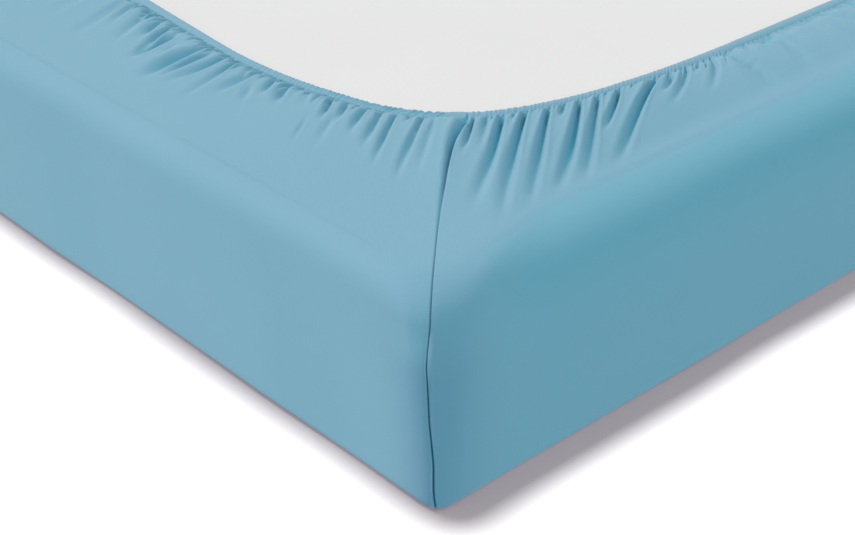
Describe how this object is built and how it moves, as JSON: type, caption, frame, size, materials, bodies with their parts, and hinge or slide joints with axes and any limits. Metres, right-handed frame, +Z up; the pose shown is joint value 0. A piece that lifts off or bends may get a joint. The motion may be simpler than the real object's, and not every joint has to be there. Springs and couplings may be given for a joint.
{
  "type": "fitted sheet on a mattress",
  "caption": "Light-blue fitted sheet pulled over a white mattress that lies underside up: smooth walls, sewn corners, and a border that wraps over the rim and ends in a gathered elastic hem.",
  "frame": {"origin": "on the ground under the middle of the mattress", "axes": "+Y along the long side, +X along the short side, +Z up, away from the sheet's main panel, which is on the ground"},
  "size_m": [1.407, 2.007, 0.2153],
  "materials": {
    "sheet_cotton": "fine smooth cotton, light blue, matt with a faint sheen",
    "mattress_ticking": "plain white woven ticking, matt"
  },
  "bodies": {
    "root": {"fitted_sheet": "sheet_cotton", "mattress": "mattress_ticking"}
  },
  "joints": []
}
